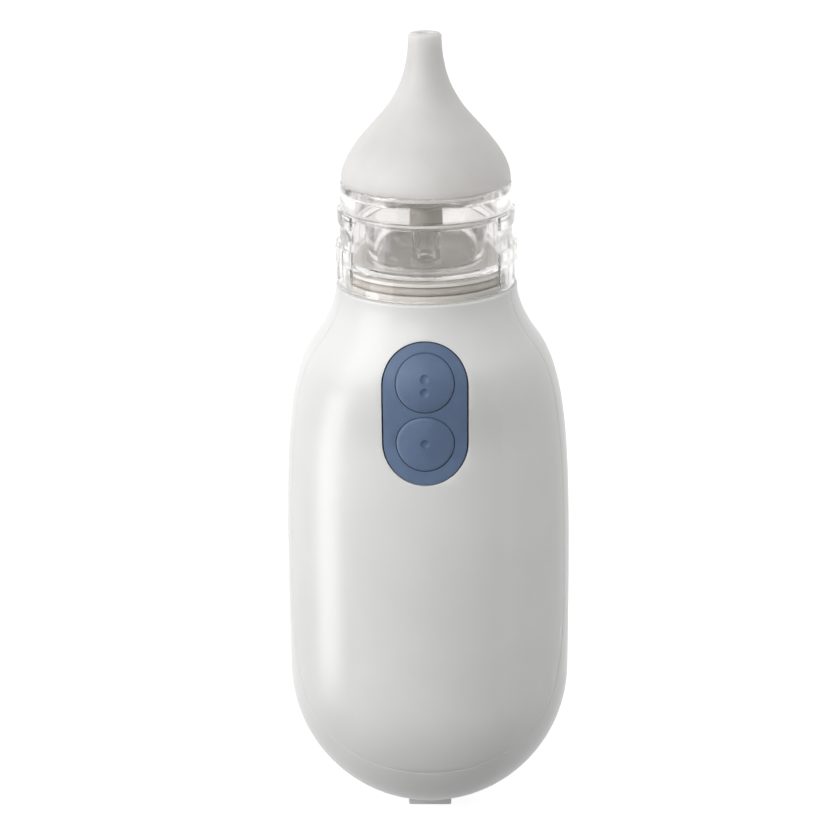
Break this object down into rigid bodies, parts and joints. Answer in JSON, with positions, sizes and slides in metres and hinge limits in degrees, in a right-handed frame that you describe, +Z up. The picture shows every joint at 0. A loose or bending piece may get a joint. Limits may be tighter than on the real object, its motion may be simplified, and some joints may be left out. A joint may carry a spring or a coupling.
{
  "type": "nasal aspirator",
  "caption": "Battery-powered infant nasal aspirator with soft nozzle, clear lift-off collector cup, two-button keypad and upright rounded casing.",
  "frame": {"origin": "on the foot's flat underside, on the upright axis of the nozzle, collector and casing", "axes": "+Z up along the upright axis, -Y towards the side with the keypad, +X to the right seen from the keypad side"},
  "size_m": [0.0584, 0.0476, 0.1648],
  "materials": {
    "casing_white": "glossy moulded",
    "soft_blue": "soft-touch matte",
    "clear_plastic": "clear polished",
    "milky_silicone": "translucent satin",
    "grey_silicone": "translucent satin",
    "neck_plastic": "satin moulded",
    "natural_plastic": "matte moulded",
    "dark_plastic": "matte moulded",
    "board": "solder mask",
    "cell": "printed sleeve",
    "steel": "nickel plated",
    "winding": "enamelled copper wire on laminations",
    "black_rubber": "matte",
    "wire_black": "insulated",
    "wire_red": "insulated"
  },
  "bodies": {
    "casing": {"back_shell": "casing_white", "base_foot": "casing_white", "battery_left": "cell", "battery_right": "cell", "battery_tray": "natural_plastic", "battery_wire_left": "wire_black", "battery_wire_right": "wire_red", "bridge_plate": "steel", "contact_plate_left": "steel", "contact_plate_right": "steel", "diaphragm": "black_rubber", "front_shell": "casing_white", "high_switch": "dark_plastic", "keypad": "soft_blue", "low_switch": "dark_plastic", "magnet_left": "dark_plastic", "magnet_right": "dark_plastic", "motor_can": "steel", "motor_end_cap": "dark_plastic", "motor_mount": "black_rubber", "motor_wire_left": "wire_black", "motor_wire_right": "wire_red", "neck_plug": "neck_plastic", "neck_seal": "grey_silicone", "port_gasket": "milky_silicone", "pump_case": "dark_plastic", "pump_head": "dark_plastic", "screw_lower_left": "steel", "screw_lower_right": "steel", "screw_upper_left": "steel", "screw_upper_right": "steel", "spring_left": "steel", "spring_right": "steel", "suction_hose": "milky_silicone", "switch_board": "board", "valve_plate": "natural_plastic", "wobble_plate": "natural_plastic"},
    "collector": {"collector_cup": "clear_plastic"},
    "collector_top": {"collector_lid": "clear_plastic", "lid_seal": "milky_silicone", "splash_baffle": "grey_silicone"},
    "nozzle_tip": {"nozzle": "milky_silicone"},
    "cover": {"battery_cover": "casing_white"},
    "high_key": {"high_button": "soft_blue", "high_plunger": "dark_plastic"},
    "low_key": {"low_button": "soft_blue", "low_plunger": "dark_plastic"},
    "rotor": {"armature": "winding", "motor_shaft": "steel", "crank": "natural_plastic"}
  },
  "joints": [
    {"name": "collector_lift", "type": "slide", "parent": "casing", "child": "collector", "axis": [0, 0, 1], "range_m": [0, 0.03]},
    {"name": "lid_lift", "type": "slide", "parent": "collector", "child": "collector_top", "axis": [0, 0, 1], "range_m": [0, 0.02]},
    {"name": "nozzle_pull", "type": "slide", "parent": "collector_top", "child": "nozzle_tip", "axis": [0, 0, 1], "range_m": [0, 0.02]},
    {"name": "cover_hinge", "type": "hinge", "parent": "casing", "child": "cover", "pos_m": [0, 0.0182, 0.0135], "axis": [-1, 0, 0], "range_deg": [0, 75]},
    {"name": "high_button_press", "type": "slide", "parent": "casing", "child": "high_key", "axis": [0, 1, 0], "range_m": [0, 0.0006], "stiffness_N_per_m": 800},
    {"name": "low_button_press", "type": "slide", "parent": "casing", "child": "low_key", "axis": [0, 1, 0], "range_m": [0, 0.0006], "stiffness_N_per_m": 800},
    {"name": "motor_spin", "type": "hinge", "parent": "casing", "child": "rotor", "pos_m": [0, 0.004, 0.085], "axis": [0, 0, 1], "continuous": true}
  ]
}
